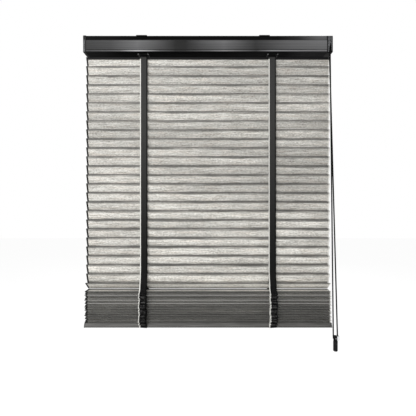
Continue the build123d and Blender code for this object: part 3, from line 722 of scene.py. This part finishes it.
# Dark braid of the cords, with slanting strands
def braid(name, colour, pitch):
    nodes = Nodes(name, roughness=0.8, specular=0.08)
    place = nodes.coordinate("Object")
    x, y, z = nodes.split(place)
    slant = nodes.plus(z, nodes.times(nodes.plus(x, y), STRAND_SLANT))
    strands = nodes.times(nodes.wave(slant, pitch), STRAND_WEIGHT)
    height = nodes.plus(strands, nodes.noise(place, CORD_FUZZ_CELLS))
    dark_stop = (CORD_DARK_PLACE, toned(colour, CORD_DARK_TONE))
    light_stop = (CORD_LIGHT_PLACE, toned(colour, CORD_LIGHT_TONE))
    thread = nodes.ramp(nodes.step(height, *STRAND_HEIGHTS), [dark_stop, light_stop])
    return nodes.finish(thread, height, BRAID_BUMP)


# Gives a CAD node one material, or several by the place and direction of each face
def dress(node, materials, choose=None):
    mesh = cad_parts[node].data
    mesh.materials.clear()
    for material in materials:
        mesh.materials.append(material)
    for polygon in mesh.polygons:
        polygon.material_index = choose(polygon.center, polygon.normal) if choose else 0


# Parts of the headrail, measured in from its front, top and foot
PLAIN_FACE, DARK_BAND, BRIGHT_BEAD, UNDERSIDE = range(4)
FACING_SHARE = 0.3
TOP_FACING_SHARE = 0.9
UNDERSIDE_HEIGHT = 0.003
FRONT_DEPTH = 0.004
BAND_HEIGHT = 0.0129
BEAD_HEIGHT = 0.0066
BEAD_DEPTH = 0.0006
GROOVE_DEPTH = 0.0005


# The headrail's part that a face belongs to
def headrail_part(place, normal):
    low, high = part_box("headrail")
    if normal.z < -FACING_SHARE and place.z < low.z + UNDERSIDE_HEIGHT:
        return UNDERSIDE
    if normal.y > -FACING_SHARE or place.y > low.y + FRONT_DEPTH:
        return PLAIN_FACE
    if place.z > high.z - BAND_HEIGHT and normal.z < TOP_FACING_SHARE:
        return DARK_BAND
    if place.z < low.z + BEAD_HEIGHT and place.y < low.y + BEAD_DEPTH:
        return BRIGHT_BEAD
    # Front faces set back in the groove wear the near-black band paint as painted shade
    return DARK_BAND if place.y > low.y + GROOVE_DEPTH else PLAIN_FACE


# A mesh object from points and faces, with soft shading between sharp edges
def mesh_piece(name, points, faces, material):
    mesh = bpy.data.meshes.new(name)
    mesh.from_pydata(points, [], faces)
    mesh.materials.append(material)
    mesh.shade_smooth()
    mesh.set_sharp_from_angle(angle=math.radians(SHARP_ANGLE))
    piece = bpy.data.objects.new(name, mesh)
    bpy.context.scene.collection.objects.link(piece)
    return piece


# Faces of a strip with two sides of rows and columns of points, closed all round
def strip_faces(rows, columns):
    def index(side, row, column):
        return (side * rows + row) * columns + column

    faces = []
    for row in range(rows - 1):
        for column in range(columns - 1):
            ring = [(row, column), (row + 1, column), (row + 1, column + 1), (row, column + 1)]
            faces.append([index(0, *corner) for corner in ring])
            faces.append([index(1, *corner) for corner in ring[::-1]])
        for column, turn in ((0, 1), (columns - 1, -1)):
            ring = [index(0, row, column), index(1, row, column)]
            ring += [index(1, row + 1, column), index(0, row + 1, column)]
            faces.append(ring[::turn])
    for row, turn in ((0, -1), (rows - 1, 1)):
        for column in range(columns - 1):
            ring = [index(0, row, column), index(1, row, column)]
            ring += [index(1, row, column + 1), index(0, row, column + 1)]
            faces.append(ring[::turn])
    return faces


# Points of a strip of tape along a path of (x, y, z, roll), with thicker selvedges and weave marks
def strip_points(path, width, columns):
    path = np.array(path, float)
    steps = np.gradient(path[:, 1:3], axis=0)
    normals = np.stack([-steps[:, 1], steps[:, 0]], axis=1)
    normals /= np.linalg.norm(normals, axis=1)[:, None]
    lengths = np.linalg.norm(np.diff(path[:, :3], axis=0), axis=1)
    along = np.concatenate([[0], np.cumsum(lengths)])
    spread = np.linspace(-1, 1, columns)
    half = TAPE_THICKNESS / 2 * (1 + SELVEDGE_SWELL * (np.abs(spread) > SELVEDGE_SHARE))
    points, marks = [], []
    for side in (1, -1):
        for row, (place, normal) in enumerate(zip(path, normals)):
            for share, depth in zip(spread, half):
                y, z = place[1:3] + side * depth * normal
                reach = share * width / 2
                points.append((place[0] + reach, y, z + reach * place[3]))
                marks.append((along[row], reach))
    return points, marks


# Strips of tape as one piece, with their lengthwise and crosswise places for the weave
def tape_piece(name, paths, width, columns, material):
    points, faces, marks = [], [], []
    for path in paths:
        new_points, new_marks = strip_points(path, width, columns)
        faces += [[corner + len(points) for corner in face] for face in strip_faces(len(path), columns)]
        points += new_points
        marks += new_marks
    piece = mesh_piece(name, points, faces, material)
    for place, title in enumerate(("along", "across")):
        attribute = piece.data.attributes.new(title, "FLOAT", "POINT")
        attribute.data.foreach_set("value", [mark[place] for mark in marks])
    return piece


# Corners of a path cut again and again, which leaves a smooth line
def smooth(path, rounds=3):
    near, far = 1 - CORNER_CUT_SHARE, CORNER_CUT_SHARE
    for _ in range(rounds):
        cut = [path[0]]
        for a, b in zip(path, path[1:]):
            a, b = np.array(a), np.array(b)
            cut += [tuple(a * near + b * far), tuple(a * far + b * near)]
        path = cut + [path[-1]]
    return path


# A point of a slat's cross-section, from its place across the slat and its depth below the middle
def slat_point(z, tilt, u, v):
    angle = math.radians(tilt)
    return (u * math.cos(angle) - v * math.sin(angle), z - u * math.sin(angle) - v * math.cos(angle))


# The outermost point of slack tape between two rungs
def fold_point(upper, lower, side):
    dy, dz = lower[0] - upper[0], lower[1] - upper[1]
    span = math.hypot(dy, dz)
    reach = side * math.sqrt(max(SLAT_PITCH ** 2 - span ** 2, 0)) / 2
    return ((upper[0] + lower[0]) / 2 - dz / span * reach, (upper[1] + lower[1]) / 2 + dy / span * reach)


# Heights and slopes of the gathered slats from the top down, read from their separate solids
def gathered_slats():
    mesh = bmesh.new()
    mesh.from_mesh(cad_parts["stacked_slats"].data)
    bmesh.ops.remove_doubles(mesh, verts=mesh.verts, dist=MERGE_DISTANCE)
    remaining, found = set(mesh.verts), []
    while remaining:
        group, waiting = [], [remaining.pop()]
        while waiting:
            vertex = waiting.pop()
            group.append(vertex.co.copy())
            near = {edge.other_vert(vertex) for edge in vertex.link_edges} & remaining
            remaining -= near
            waiting += near
        places = np.array(group)
        slope = np.polyfit(places[:, 1], places[:, 2], 1)[0]
        found.append(((places[:, 2].min() + places[:, 2].max()) / 2, -math.degrees(math.atan(slope))))
    mesh.free()
    return sorted(found, reverse=True)


# One gathered stretch of tape: out, round, back in and round again under each slat
def meander(side, heights):
    turn = (heights[0] - heights[-1]) / (len(heights) - 1) / 4
    reach = (SLAT_PITCH - 2 * math.pi * turn) / 2
    path = []
    for number, (upper, lower) in enumerate(zip(heights, heights[1:])):
        far = FOLD_U + turn + reach + FOLD_REACH_CHANGE * math.sin(FOLD_REACH_RATE * number + side)
        for step in range(OUTER_FOLD_STEPS + 1):
            angle = math.pi / 2 - math.pi * step / OUTER_FOLD_STEPS
            path.append((far + turn * math.cos(angle), (upper + lower) / 2 + turn * math.sin(angle)))
        for step in range(INNER_FOLD_STEPS):
            angle = math.pi / 2 + math.pi * (step + 0.5) / INNER_FOLD_STEPS
            path.append((FOLD_U + turn + turn * math.cos(angle), lower + turn * math.sin(angle)))
    span = FOLD_U + reach
    return [(side * y, z - FOLD_DROOP * ((y - FOLD_U) / (span - FOLD_U)) ** 2) for y, z in path]


# The wrap of a web round its drum
def drum_wrap(side):
    shaft = middle("drive_shaft")
    drum_low, drum_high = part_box("left_drum")
    radius = (drum_high.z - drum_low.z) / 2 + TAPE_GAP
    first, last = FRONT_WRAP if side < 0 else BACK_WRAP
    turns = [math.radians(first + (last - first) * step / WRAP_STEPS) for step in range(WRAP_STEPS + 1)]
    return [(radius * math.cos(turn), shaft.z + radius * math.sin(turn)) for turn in turns]


# The end of a web, from its last fold round the bottom rail to the plug under it
def rail_wrap(side, last_fold, last_height):
    rail_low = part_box("bottom_rail")[0]
    rail_y = side * (-rail_low.y + TAPE_GAP + FOOT_GAP)
    under = rail_low.z - TAPE_GAP
    return [
        last_fold,
        (side * (FOLD_U + EXIT_OUT), last_height - EXIT_DROP),
        (rail_y, rail_low.z + FOOT_RISE),
        (rail_y, under),
        (side * TAPE_END_Y, under),
    ]


# The line of one web of the ladder tape, from the drum to the plug under the bottom rail
def web_path(side, tape_x, stack):
    angle = math.radians(SLAT_TILT)
    web_y = side * (RUNG_U * math.cos(angle) + RUNG_V * math.sin(angle))
    joint = slat_point(middle(HANGING[-2]).z, SLAT_TILT, side * RUNG_U, -side * RUNG_V)
    lean = slat_point(middle(LEANING).z, LEANING_TILT, side * RUNG_U, -side * RUNG_V)
    heights = [z - RUNG_V for z, tilt in stack]
    top = heights[0]
    hang = np.linspace(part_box("left_tape_guide")[1].z, joint[1], HANG_POINTS)
    folds = meander(side, heights)
    link = [(web_y, hang[-2]), joint, lean, (side * (FOLD_U + ENTRY_OUT), top + ENTRY_RISE), folds[0]]
    if math.dist(joint, lean) < SLAT_PITCH:
        link.insert(2, fold_point(joint, lean, side))
        link.insert(4, (side * (FOLD_U + SLACK_OUT), (lean[1] + top) / 2 + SLACK_RISE))
    foot = rail_wrap(side, folds[-1], heights[-1])
    path = drum_wrap(side) + [(web_y, z) for z in hang[:-1]]
    path += smooth(link)[1:] + folds[1:] + smooth(foot)[1:]
    line = []
    for y, z in path:
        depth = min(max((top + SWAY_START - z) / SWAY_FADE, 0), 1)
        sway = FOLD_SWAY * depth * math.sin((top - z) * SWAY_RATE + SWAY_PHASE * tape_x)
        roll = FOLD_ROLL * depth * math.sin((top - z) * ROLL_RATE + ROLL_PHASE * tape_x)
        line.append((tape_x + sway, y, z, roll))
    return line


# Paths of one slat's rungs, in both tapes and on alternate sides of their middles
def rung_paths(number, bends):
    shift = RUNG_OFFSET if number % 2 else -RUNG_OFFSET
    return [[(tape_x + shift, y, z, 0) for y, z in bends] for tape_x in tapes.values()]


# A curve through a cord's route, with smooth bends
def cord_curve(name, route, radius, material):
    curve = bpy.data.curves.new(name, "CURVE")
    curve.dimensions = "3D"
    spline = curve.splines.new("NURBS")
    spline.points.add(len(route) - 1)
    for point, place in zip(spline.points, route):
        point.co = (*place, 1)
    spline.order_u = 3
    spline.use_endpoint_u = True
    curve.resolution_u = 24
    curve.bevel_depth = radius
    curve.bevel_resolution = 5
    curve.use_fill_caps = True
    curve.materials.append(material)
    piece = bpy.data.objects.new(name, curve)
    bpy.context.scene.collection.objects.link(piece)
    return piece


# Materials
stack = gathered_slats()
stack_top = stack[0][0]
hanging_wood = slat_wood("hanging_slat_wood", SLAT_TILT)
# The leaning slat: brighter painted light, and a narrower band of stain and painted shade
leaning_wood = slat_wood("leaning_slat_wood", LEANING_TILT, painted_light_tint=1.12, stain_and_shade_share=0.5)
gathered_wood = slat_wood("gathered_slat_wood", 0, end_reach=GATHERED_END_REACH, pile=stack)
# Headrail paints: painted sheen on the face, a painted dark reflection on the band and painted shade in the
# groove, a painted highlight on the bead, painted shade underneath
face_sheen_and_shade_paint = rail_paint("rail_face_sheen_and_shade_paint", FACE_SHEEN_SHARES, FACE_RISE_SHARES, roughness=0.38, specular=0.1)
band_dark_reflection_and_shade_paint = rail_paint("rail_band_dark_reflection_and_shade_paint", BAND_SHEEN_SHARES, EVEN_RISE_SHARES, roughness=0.6, specular=0.02)
bead_highlight_paint = rail_paint("rail_bead_highlight_paint", BEAD_SHEEN_SHARES, BEAD_RISE_SHARES, roughness=0.35, specular=0.1)
underside_shade_paint = rail_paint("rail_underside_shade_paint", UNDER_SHEEN_SHARES, EVEN_RISE_SHARES,
                         roughness=0.7, specular=0.02)
end_plastic = end_unit_plastic()
guide_paint = guide_plastic()
dark_plastic = plastic("dark_plastic", (0.006, 0.006, 0.0065), roughness=0.5, specular=0.12)
cap_plastic = plastic("cap_plastic", (0.05, 0.049, 0.047), roughness=0.5, specular=0.2)
inner_plastic = plastic("inner_plastic", (0.5, 0.5, 0.49), roughness=0.5, speckle=0.06)
pale_plastic = plastic("pale_plastic", (0.8, 0.81, 0.82), roughness=0.2, specular=0.5, speckle=0.05)
bracket_paint = plastic("bracket_paint", grey(0.006), roughness=0.5, specular=0.12)
plated_steel = steel("plated_steel", (0.55, 0.55, 0.56), roughness=0.35)
weave = tape_weave(stack_top)
cord_braid = braid("cord_braid", grey(0.005), pitch=0.0016)
lift_braid = braid("lift_braid", grey(0.02), pitch=0.001)

# CAD nodes that keep their shape, under the material that they wear
dressed = (
    (hanging_wood, HANGING[:-1]),
    (leaning_wood, [LEANING]),
    (gathered_wood, ["stacked_slats"]),
    (rail_wood(), ["bottom_rail"]),
    (end_plastic, ["left_end_cap", "clutch_housing"]),
    (cap_plastic, ["bottom_rail_left_cap", "bottom_rail_right_cap"]),
    (bracket_paint, ["left_bracket", "right_bracket"]),
    (guide_paint, ["left_tape_guide", "right_tape_guide"]),
    (dark_plastic, ["clutch_cover", "left_tape_plug", "right_tape_plug"]),
    (dark_plastic, ["tension_weight", "tension_pulley", "cord_wheel"]),
    (inner_plastic, ["left_drum", "right_drum", "left_cradle", "right_cradle", "left_bushing"]),
    (plated_steel, ["drive_shaft", "tension_pin"]),
    (pale_plastic, ["cord_keeper"]),
    (cord_braid, ["wheel_cord"]),
    (lift_braid, ["left_lift_cord", "right_lift_cord"]),
)
for material, wearers in dressed:
    for node in wearers:
        dress(node, [material])
dress("headrail", [face_sheen_and_shade_paint, band_dark_reflection_and_shade_paint, bead_highlight_paint, underside_shade_paint], headrail_part)

# Webs of the ladder tapes, front and back
for side, tape_x in tapes.items():
    node = f"{side}_ladder_tape"
    for name, direction in (("front", -1), ("back", 1)):
        path = web_path(direction, tape_x, stack)
        web = tape_piece(f"{side}_{name}_web", [path], TAPE_WIDTH, TAPE_COLUMNS, weave)
        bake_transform(web)
        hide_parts(node)

# Rungs under the hanging slats, which tilt with them
for number, slat in enumerate(HANGING):
    tilt = LEANING_TILT if slat == LEANING else SLAT_TILT
    corners = [(-RUNG_U, RUNG_V), (RUNG_U, RUNG_V), (RUNG_U, -RUNG_V)]
    bends = [slat_point(middle(slat).z, tilt, u, v) for u, v in corners]
    rungs = tape_piece(f"{slat}_rungs", rung_paths(number, bends), RUNG_WIDTH, RUNG_COLUMNS, weave)
    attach(rungs, slat)

# Rungs under the gathered slats, which go with the bottom rail
paths = []
for number, (z, tilt) in enumerate(stack):
    ends = [slat_point(z, tilt, u, RUNG_V) for u in (-FOLD_U, FOLD_U)]
    paths += rung_paths(number, ends)
stack_rungs = tape_piece("stacked_slats_rungs", paths, RUNG_WIDTH, RUNG_COLUMNS, weave)
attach(stack_rungs, "bottom_rail")

# Control cord loop with the weight in its lower bend
pulley = middle("tension_pulley")
wheel_x = middle("wheel_cord").x
front_top = Vector((wheel_x, FRONT_CORD_Y, CORD_TOP))
back_top = Vector((wheel_x, BACK_CORD_Y, CORD_TOP))
front_turn = pulley + Vector((-CORD_TURN, 0, -CORD_TURN))
back_turn = pulley + Vector((CORD_TURN, 0, -CORD_TURN))
front_bend = front_turn.lerp(front_top, CORD_BEND_SHARE)
back_bend = back_turn.lerp(back_top, CORD_BEND_SHARE)
route = [front_top, front_bend, front_turn, back_turn, back_bend, back_top]
control_cord = cord_curve("control_cord_loop", route, CORD_RADIUS, cord_braid)
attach(control_cord, "headrail")
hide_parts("control_cord")

# Camera in front of the blind's middle
camera = bpy.data.objects.new("camera", bpy.data.cameras.new("camera"))
camera.location = (blind_x, -CAMERA_DISTANCE, CAMERA_HEIGHT)
camera.rotation_euler = (math.pi / 2, 0, 0)
camera.data.lens = CAMERA_LENS
camera.data.sensor_width = SENSOR_WIDTH
bpy.context.scene.collection.objects.link(camera)
bpy.context.scene.camera = camera

# Square soft lamps that look at the middle of the blind
for name, (place, size, power) in LAMPS.items():
    light = bpy.data.lights.new(name, "AREA")
    light.size = size
    light.energy = power
    piece = bpy.data.objects.new(name, light)
    piece.location = place
    aim = Vector((blind_x, 0, LAMP_AIM_Z)) - Vector(place)
    piece.rotation_euler = aim.to_track_quat("-Z", "Y").to_euler()
    bpy.context.scene.collection.objects.link(piece)


# White for the camera and for reflections, and a plain soft grey as light
def white_world():
    world = bpy.data.worlds.new("world")
    world.use_nodes = True
    tree = world.node_tree
    rays = tree.nodes.new("ShaderNodeLightPath")
    seen = rays.outputs["Is Camera Ray"]
    for ray in ("Is Glossy Ray", "Is Transmission Ray"):
        either = tree.nodes.new("ShaderNodeMath")
        either.operation = "MAXIMUM"
        tree.links.new(seen, either.inputs[0])
        tree.links.new(rays.outputs[ray], either.inputs[1])
        seen = either.outputs[0]
    level = tree.nodes.new("ShaderNodeMapRange")
    level.inputs["To Min"].default_value = WORLD_LIGHT
    level.inputs["To Max"].default_value = 1
    tree.links.new(seen, level.inputs["Value"])
    background = tree.nodes["Background"]
    tree.links.new(level.outputs[0], background.inputs["Strength"])
    background.inputs["Color"].default_value = (1, 1, 1, 1)
    return world


# Floor
FLOOR_CELLS = grey(3)
FLOOR_STOPS = [(0.3, grey(0.86)), (0.7, grey(0.9))]


# White floor paint that glows for the camera, so that the floor ends in the white behind it
def floor_paint():
    nodes = Nodes("floor_paint", roughness=0.9, specular=0.1)
    cloud = nodes.noise(nodes.coordinate("Object"), FLOOR_CELLS)
    material = nodes.finish(nodes.ramp(cloud, FLOOR_STOPS))
    glow = nodes.add("ShaderNodeEmission", {"Color": (1, 1, 1, 1), "Strength": FLOOR_GLOW})
    seen = nodes.add("ShaderNodeLightPath", {}, "Is Camera Ray")
    inputs = {0: nodes.times(seen, FLOOR_GLOW_SHARE), 1: nodes.shader.outputs[0], 2: glow}
    mixed = nodes.add("ShaderNodeMixShader", inputs)
    nodes.join(nodes.tree.nodes["Material Output"].inputs[0], mixed)
    return material


bpy.context.scene.world = white_world()
floor_z = cad_low.z - FLOOR_DROP
corners = [(-FLOOR_REACH, -FLOOR_REACH), (FLOOR_REACH, -FLOOR_REACH)]
corners += [(x, -y) for x, y in corners[::-1]]
floor = mesh_piece("floor", [(x, y, floor_z) for x, y in corners], [(0, 1, 2, 3)], floor_paint())

bpy.context.scene.view_settings.view_transform = "Standard"
